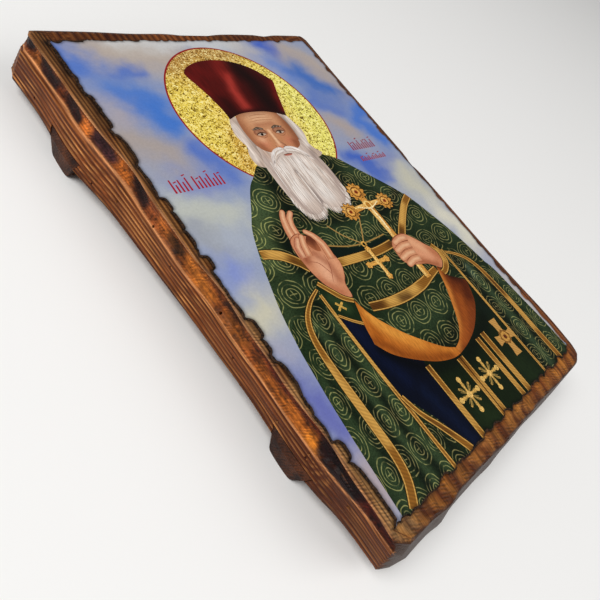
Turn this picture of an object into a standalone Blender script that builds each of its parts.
"""A printed icon panel: a hewn pine slab that carries a thin printed sheet on its front and two
dovetail battens let into its back. It lies on the battens with the picture up. Metres, +Z up,
+Y towards the top of the picture, +X towards its right."""

import math

import bmesh
import bpy
from mathutils import Vector

# The slab, across and along its front edges
SLAB_WIDTH = 0.210
SLAB_LENGTH = 0.306
SLAB_THICKNESS = 0.029

# The border between the flat field and the front edge, and how far it falls to that edge
BORDER = 0.0030
SHOULDER = 0.0013
EDGE_DROP = 0.0010
LEFT_EDGE_DROP = 0.0005
ROUNDED_EDGE_DROP = 0.0032
BACK_ROUND = 0.0018

# Corner cuts and rounds, in the order bottom left, bottom right, top right, top left
CORNER_RADII = (0.0030, 0.0085, 0.0045, 0.0040)
CORNER_POINTS = (3, 6, 5, 3)
LEAST_RADIUS = 0.0022

# The hewn cut across the bottom left corner, at the front and at the back: how far it reaches
# along the bottom and up the left flank, and how far it swells out at the back, as a share
CUT_ALONG_BOTTOM = (0.0070, 0.0180)
CUT_UP_LEFT = (0.0048, 0.0056)
CUT_ROUNDING = 0.10

# The left flank winds along its length: how far it stands out of the slab's width at its
# bottom end and its top end
LEFT_EDGE_OUT = (-0.0013, 0.0036)
LEFT_BACK_OUT = (-0.0063, 0.0078)

# The scooped band under the left front edge, and the ridge under it
SCOOPED_WIDTH = 0.0105
SCOOPED_WIDTH_AT_END = 0.0045
SCOOPED_DEPTH = 0.0020
RIDGE_STAND = 0.0010
BITE_DEPTH = 0.0014

# The other flanks: how far each stands out of the slab's width or length at its front edge and
# at its back, or how much further the back leans out than the edge
RIGHT_EDGE_OUT = 0.0034
RIGHT_BACK_OUT = 0.0012
RIGHT_BULGE = 0.0012
TOP_BACK_LEAN = 0.0070
BOTTOM_EDGE_OUT = (0.0046, 0.0014)
BOTTOM_BACK_LEAN = (0.0092, 0.0078)

# Hewn facets along the bottom border
FACET_LENGTH = 0.0190
FACET_DROP = 0.0019

# Two dovetail battens across the back
BATTEN_SPACING = 0.193
BATTEN_MIDDLE = -0.004
BATTEN_ROOT_WIDTH = 0.0290
BATTEN_NECK_WIDTH = 0.0240
BATTEN_FOOT_WIDTH = 0.0150
BATTEN_INSET = 0.0065
BATTEN_STAND = 0.0080
BATTEN_ROUND = 0.0016
BATTEN_FIT = 0.0003
BATTEN_END_FIT = 0.0004

# The printed sheet, laid a little askew: how far each corner lies inside the slab's, across and
# along, anticlockwise from the bottom left, and how far its torn edge wanders inside them
SHEET_THICKNESS = 0.0005
SHEET_MARGINS = ((0.0046, 0.0022), (0.0032, 0.0066), (0.0026, 0.0068), (0.0046, 0.0084))
SHEET_CORNER = 0.0022
SHEET_GAP = 0.0003
TEAR_DEPTH = 0.0011
TEAR_LENGTH = 0.0140

# Hollows and swells of each edge: centre and half width as shares of half the side, and height
LEFT_SWELLS = ((0.55, 0.165, 0.0040), (-0.69, 0.14, 0.0038))
LEFT_EDGE_SWELLS = (
    (1.00, 0.10, 0.0016), (0.80, 0.12, 0.0018), (0.58, 0.13, 0.0013), (0.34, 0.14, 0.0045),
    (0.10, 0.14, 0.0029), (-0.16, 0.14, 0.0050), (-0.40, 0.14, 0.0033), (-0.68, 0.14, 0.0040),
    (-0.90, 0.09, 0.0017),
)
RIGHT_SWELLS = ((0.98, 0.20, 0.0015), (-0.80, 0.24, 0.0025), (0.115, 0.040, -0.0023))
TOP_SWELLS = ((0.03, 0.15, -0.0031), (-0.40, 0.20, -0.0011), (0.63, 0.06, -0.0015))
BOTTOM_SWELLS = ((-0.66, 0.08, 0.0014), (-0.10, 0.10, 0.0007), (0.42, 0.14, -0.0006))
BITE_CENTRES = (0.90, 0.695, 0.490, 0.300, 0.056, -0.243, -0.750)
BITE_HALF_WIDTH = 0.045

# How the surface is divided
LONG_SIDE_POINTS = 72
SHORT_SIDE_POINTS = 40
SCOOP_STEPS = (0.22, 0.50, 0.78, 1.0)
FLANK_STEPS = (0.30, 0.66, 1.0)
SHEET_POINT_SPACING = 0.0035

FRONT = BATTEN_STAND + SLAB_THICKNESS


def between(ends, share):
    return ends[0] + (ends[1] - ends[0]) * share


def smooth(share):
    share = min(max(share, 0.0), 1.0)
    return share * share * (3 - 2 * share)


def swells(s, rows):
    """The sum of smooth humps along a side, at the share s of half its length."""
    return sum(height * math.exp(-(((s - centre) / half) ** 2)) for centre, half, height in rows)


def zigzag(distance, period):
    """0 at the ends of each period and 1 in its middle, with straight slopes between."""
    return 1 - abs(2 * (distance / period % 1) - 1)


def arch(share):
    """0 at both ends of 0 to 1, and 1 in the middle."""
    return 4 * share * (1 - share)


def clear_scene():
    for obj in list(bpy.data.objects):
        bpy.data.objects.remove(obj, do_unlink=True)


def new_collection(name, hidden=False):
    collection = bpy.data.collections.new(name)
    collection.hide_render = hidden
    bpy.context.scene.collection.children.link(collection)
    return collection


def new_material(name, colour, roughness):
    material = bpy.data.materials.new(name)
    material.use_nodes = True
    shader = material.node_tree.nodes["Principled BSDF"]
    shader.inputs["Base Color"].default_value = (*colour, 1.0)
    shader.inputs["Roughness"].default_value = roughness
    shader.inputs["Metallic"].default_value = 0.0
    return material


def stations():
    """Where each point of an outline lies: the two corners it is between, the share of the way
    from one to the other, and the angle that it faces. Anticlockwise from the bottom left."""
    rows = []
    for corner, points in enumerate(CORNER_POINTS):
        first_angle = math.pi + corner * math.pi / 2
        for k in range(points):
            angle = first_angle + math.pi / 2 * k / (points - 1)
            rows.append((corner, corner, 0.0, angle))
        run = SHORT_SIDE_POINTS if corner % 2 == 0 else LONG_SIDE_POINTS
        for k in range(1, run + 1):
            share = k / (run + 1)
            rows.append((corner, (corner + 1) % 4, share, first_angle + math.pi / 2))
    return rows


def corner_centre(corner, inset):
    """The middle of a corner's round on an outline that lies inset inside the slab's, and its
    radius."""
    radius = max(CORNER_RADII[corner] - inset, LEAST_RADIUS)
    across = 1 if corner in (1, 2) else -1
    along = 1 if corner in (2, 3) else -1
    x = across * (SLAB_WIDTH / 2 - inset - radius)
    y = along * (SLAB_LENGTH / 2 - inset - radius)
    return Vector((x, y)), radius


def outline_point(station, inset):
    first, second, share, angle = station
    centre_a, radius_a = corner_centre(first, inset)
    centre_b, radius_b = corner_centre(second, inset)
    facing = Vector((math.cos(angle), math.sin(angle)))
    radius = between((radius_a, radius_b), share)
    return centre_a.lerp(centre_b, share) + facing * radius, facing


def steps(edge_depth, scooped):
    """The depths of the rings of a flank under the front edge, and each one's share of the way
    down the scooped band, or 1 below it."""
    ridge = edge_depth + scooped
    lowest = SLAB_THICKNESS - BACK_ROUND
    rows = [(edge_depth, 0.0)]
    rows += [(edge_depth + scooped * share, share) for share in SCOOP_STEPS]
    rows += [(between((ridge, lowest), share), 1.0) for share in FLANK_STEPS]
    rows += [(SLAB_THICKNESS, 1.0)]
    return rows


def left_flank(s):
    """(how far out, how deep) for each ring of the left flank."""
    along = (s + 1) / 2
    scooped = between((SCOOPED_WIDTH_AT_END, SCOOPED_WIDTH), smooth((s + 0.80) / 0.12))
    edge = between(LEFT_EDGE_OUT, along) - swells(s, LEFT_EDGE_SWELLS)
    back = between(LEFT_BACK_OUT, along) + swells(s, LEFT_SWELLS)
    bite = BITE_DEPTH * sum(swells(s, ((c, BITE_HALF_WIDTH, 1.0),)) for c in BITE_CENTRES)
    rows = []
    for depth, share in steps(LEFT_EDGE_DROP, scooped):
        out = between((edge, back), depth / SLAB_THICKNESS)
        hollow = (SCOOPED_DEPTH * scooped / SCOOPED_WIDTH + bite) * arch(share)
        stand = RIDGE_STAND * share * (1 - smooth(depth / SLAB_THICKNESS))
        rows.append((out - hollow + stand, depth))
    return rows


def plain_flank(edge, lean, edge_depth, bulge):
    rows = []
    for depth, _ in steps(edge_depth, SCOOPED_WIDTH):
        share = depth / SLAB_THICKNESS
        rows.append((edge + lean * share + bulge * arch(share), depth))
    return rows


def right_flank(s):
    edge = RIGHT_EDGE_OUT + swells(s, RIGHT_SWELLS)
    return plain_flank(edge, RIGHT_BACK_OUT - RIGHT_EDGE_OUT, ROUNDED_EDGE_DROP, RIGHT_BULGE)


def top_flank(s):
    return plain_flank(swells(s, TOP_SWELLS), TOP_BACK_LEAN, EDGE_DROP, 0.0)


def bottom_flank(s):
    along = (s + 1) / 2
    facet = zigzag((s + 1) * SLAB_WIDTH / 2, FACET_LENGTH)
    edge = between(BOTTOM_EDGE_OUT, along) + swells(s, BOTTOM_SWELLS)
    return plain_flank(edge, between(BOTTOM_BACK_LEAN, along), EDGE_DROP + FACET_DROP * facet, 0.0)


def flank_rings(station):
    """The rings of the flanks at one station, where a corner blends the two flanks it joins."""
    point, facing = outline_point(station, 0.0)
    across = point.x / (SLAB_WIDTH / 2)
    along = point.y / (SLAB_LENGTH / 2)
    side = right_flank(along) if facing.x > 0 else left_flank(along)
    end = top_flank(across) if facing.y > 0 else bottom_flank(across)
    weight = facing.x**2
    return [
        (between((b[0], a[0]), weight), between((b[1], a[1]), weight))
        for a, b in zip(side, end)
    ]


def flank_point(station, inset, level, out):
    """A point of the slab's outline at one level of its flanks, inset inside it. The bottom left
    corner is a hewn cut, whose right end slides along the bottom as it goes down."""
    point, facing = outline_point(station, inset)
    point += facing * out
    first, second, share, angle = station
    if first != 0:
        return point
    left_out, depth = left_flank(-1.0)[level]
    bottom_out = bottom_flank(-1.0)[level][0]
    corner = Vector((inset - SLAB_WIDTH / 2 - left_out, inset - SLAB_LENGTH / 2 - bottom_out))
    down = depth / SLAB_THICKNESS
    reach = Vector((between(CUT_ALONG_BOTTOM, down), between(CUT_UP_LEFT, down)))
    if second != 0:
        far, _ = corner_centre(second, inset)
        point.x = between((corner.x + reach.x, far.x), share)
        return point
    turn = (angle - math.pi) / (math.pi / 2)
    swell = CUT_ROUNDING * down * arch(turn)
    return corner + Vector((reach.x * (turn - swell), reach.y * (1 - turn - swell)))


def field_point(station):
    """A point of the flat field's outline, which keeps clear of the hollows of the left edge."""
    point, facing = outline_point(station, BORDER)
    if facing.x < 0:
        hollow = min(left_flank(point.y / (SLAB_LENGTH / 2))[0][0], 0.0)
        point.x += facing.x * hollow
    return point


def slab_rings(lowest):
    """The slab's outline at each level from the flat field down to the height lowest."""
    outline = stations()
    flanks = [flank_rings(station) for station in outline]
    field, shoulder, back = [], [], []
    for station, flank in zip(outline, flanks):
        point = field_point(station)
        field.append((point.x, point.y, FRONT))
        out, depth = flank[0]
        point = flank_point(station, SHOULDER, 0, out)
        fall = depth * (1 - SHOULDER / BORDER) ** 2
        shoulder.append((point.x, point.y, FRONT - fall))
        point = flank_point(station, BACK_ROUND, -1, flank[-1][0])
        back.append((point.x, point.y, lowest))
    rings = [field, shoulder]
    for level in range(len(flanks[0]) - 1):
        ring = []
        for station, flank in zip(outline, flanks):
            point = flank_point(station, 0.0, level, flank[level][0])
            ring.append((point.x, point.y, FRONT - flank[level][1]))
        rings.append(ring)
    return rings + [back]


def loft(name, rings, collection):
    """A closed mesh through rings of as many points each, with a flat face at either end."""
    mesh = bpy.data.meshes.new(name)
    bm = bmesh.new()
    loops = [[bm.verts.new(point) for point in ring] for ring in rings]
    count = len(rings[0])
    for upper, lower in zip(loops, loops[1:]):
        for k in range(count):
            following = (k + 1) % count
            bm.faces.new((upper[k], lower[k], lower[following], upper[following]))
    bm.faces.new(loops[0])
    bm.faces.new(reversed(loops[-1]))
    bmesh.ops.triangulate(bm, faces=bm.faces)
    bmesh.ops.recalc_face_normals(bm, faces=bm.faces)
    bm.to_mesh(mesh)
    bm.free()
    obj = bpy.data.objects.new(name, mesh)
    collection.objects.link(obj)
    return obj


def flat_outline(name, points, thickness, collection):
    """A curve of straight stretches, filled and given a thickness."""
    curve = bpy.data.curves.new(name, "CURVE")
    curve.dimensions = "2D"
    curve.fill_mode = "BOTH"
    curve.extrude = thickness / 2
    spline = curve.splines.new("POLY")
    spline.points.add(len(points) - 1)
    for target, point in zip(spline.points, points):
        target.co = (point[0], point[1], 0.0, 1.0)
    spline.use_cyclic_u = True
    obj = bpy.data.objects.new(name, curve)
    collection.objects.link(obj)
    return obj


def made_mesh(obj):
    """The same object as a mesh, with its caps welded to its sides."""
    bpy.context.view_layer.update()
    graph = bpy.context.evaluated_depsgraph_get()
    mesh = bpy.data.meshes.new_from_object(obj.evaluated_get(graph))
    bm = bmesh.new()
    bm.from_mesh(mesh)
    bmesh.ops.remove_doubles(bm, verts=bm.verts, dist=1e-5)
    bmesh.ops.recalc_face_normals(bm, faces=bm.faces)
    bm.to_mesh(mesh)
    bm.free()
    name = obj.name
    solid = bpy.data.objects.new(name, mesh)
    solid.matrix_world = obj.matrix_world
    for collection in list(obj.users_collection):
        collection.objects.link(solid)
    bpy.data.objects.remove(obj, do_unlink=True)
    solid.name = name
    mesh.name = name
    return solid


def batten_section(fit):
    """Half of a batten's section either side of its middle, as (across, up) points, let into the
    slab's back and tapering to a narrow foot. fit widens it all round."""
    root_up = BATTEN_STAND + BATTEN_INSET + fit
    half = [
        (BATTEN_ROOT_WIDTH / 2 + fit, root_up),
        (BATTEN_NECK_WIDTH / 2 + fit, BATTEN_STAND),
        (BATTEN_FOOT_WIDTH / 2 + BATTEN_ROUND + fit, BATTEN_ROUND),
        (BATTEN_FOOT_WIDTH / 2 + BATTEN_ROUND / 3 + fit, BATTEN_ROUND / 4),
        (BATTEN_FOOT_WIDTH / 2 - BATTEN_ROUND / 3 + fit, 0.0),
    ]
    return half + [(-across, up) for across, up in reversed(half)]


def bar(name, y, fit, length, collection):
    """A straight bar of the batten's section across the slab."""
    obj = flat_outline(name, batten_section(fit), length, collection)
    # The outline's own x and y turn to the slab's y and z, and its thickness to x
    obj.rotation_euler = (math.pi / 2, 0.0, math.pi / 2)
    obj.location = (0.0, y, 0.0)
    return made_mesh(obj)


def apply_boolean(obj, operand, operation):
    modifier = obj.modifiers.new(operand.name, "BOOLEAN")
    modifier.operation = operation
    modifier.solver = "EXACT"
    modifier.object = operand


def batten_places():
    """Where each batten's middle lies along the slab."""
    return {
        "upper_batten": BATTEN_MIDDLE + BATTEN_SPACING / 2,
        "lower_batten": BATTEN_MIDDLE - BATTEN_SPACING / 2,
    }


def make_slab(parts, cutters, material):
    slab = loft("slab", slab_rings(BATTEN_STAND), parts)
    slab.data.materials.append(material)
    for name, y in batten_places().items():
        groove = bar(f"{name}_groove", y, BATTEN_FIT, 2 * SLAB_WIDTH, cutters)
        groove.display_type = "WIRE"
        groove.hide_render = True
        apply_boolean(slab, groove, "DIFFERENCE")
    return slab


def make_batten(name, y, parts, cutters, material):
    """A batten whose ends are trimmed to the slab's flanks."""
    batten = bar(name, y, 0.0, 2 * SLAB_WIDTH, parts)
    batten.data.materials.append(material)
    trim = loft(f"{name}_trim", slab_rings(-BATTEN_STAND), cutters)
    trim.scale = (1 - 2 * BATTEN_END_FIT / SLAB_WIDTH, 1.0, 1.0)
    trim.display_type = "WIRE"
    trim.hide_render = True
    apply_boolean(batten, trim, "INTERSECT")
    return batten


def tear(distance, perimeter):
    """How far the sheet's torn edge stands inside its straight one, at a distance along it."""
    turns = round(perimeter / TEAR_LENGTH)
    turn = math.tau * turns * distance / perimeter
    long_wave = 0.5 + 0.5 * math.sin(turn + 1.7 * math.sin(turn / turns * 7))
    short_wave = 0.5 + 0.5 * math.sin(turn * 3 + 2.1 * math.sin(turn / turns * 11))
    return TEAR_DEPTH * (0.75 * long_wave**2 + 0.35 * short_wave**3)


def sheet_outline():
    """The torn outline of the sheet, anticlockwise from the bottom left, with each corner cut."""
    corners = []
    for (across, along), (x_sign, y_sign) in zip(SHEET_MARGINS, ((-1, -1), (1, -1), (1, 1), (-1, 1))):
        corners.append(Vector((x_sign * (SLAB_WIDTH / 2 - across), y_sign * (SLAB_LENGTH / 2 - along))))
    perimeter = sum((corners[k] - corners[k - 1]).length for k in range(4))
    points = []
    walked = 0.0
    for k in range(4):
        start, end = corners[k], corners[(k + 1) % 4]
        side = end - start
        direction = side.normalized()
        inward = Vector((-direction.y, direction.x))
        count = round((side.length - 2 * SHEET_CORNER) / SHEET_POINT_SPACING)
        for j in range(count + 1):
            distance = SHEET_CORNER + (side.length - 2 * SHEET_CORNER) * j / count
            inset = tear(walked + distance, perimeter)
            points.append(start + direction * distance + inward * inset)
        walked += side.length
    return points


def make_sheet(parts, material):
    sheet = flat_outline("printed_sheet", sheet_outline(), SHEET_THICKNESS, parts)
    sheet.location = (0.0, 0.0, FRONT + SHEET_GAP + SHEET_THICKNESS / 2)
    sheet.data.materials.append(material)
    return made_mesh(sheet)


def settle(objects):
    """Moves everything so that the origin is under the middle of the whole panel."""
    bpy.context.view_layer.update()
    graph = bpy.context.evaluated_depsgraph_get()
    corners = []
    for obj in objects:
        evaluated = obj.evaluated_get(graph)
        corners += [obj.matrix_world @ Vector(corner) for corner in evaluated.bound_box]
    middle_x = (min(c.x for c in corners) + max(c.x for c in corners)) / 2
    middle_y = (min(c.y for c in corners) + max(c.y for c in corners)) / 2
    shift = Vector((-middle_x, -middle_y, 0.0))
    for obj in bpy.data.objects:
        obj.location += shift


def build():
    clear_scene()
    parts = new_collection("icon_panel")
    cutters = new_collection("cutters", hidden=True)
    pine = new_material("stained_pine", (0.20, 0.075, 0.025), 0.5)
    dark = new_material("dark_stained_pine", (0.055, 0.025, 0.013), 0.6)
    print_face = new_material("varnished_print", (0.10, 0.13, 0.09), 0.35)
    slab = make_slab(parts, cutters, pine)
    battens = [make_batten(name, y, parts, cutters, dark) for name, y in batten_places().items()]
    sheet = make_sheet(parts, print_face)
    settle([slab, sheet, *battens])


build()
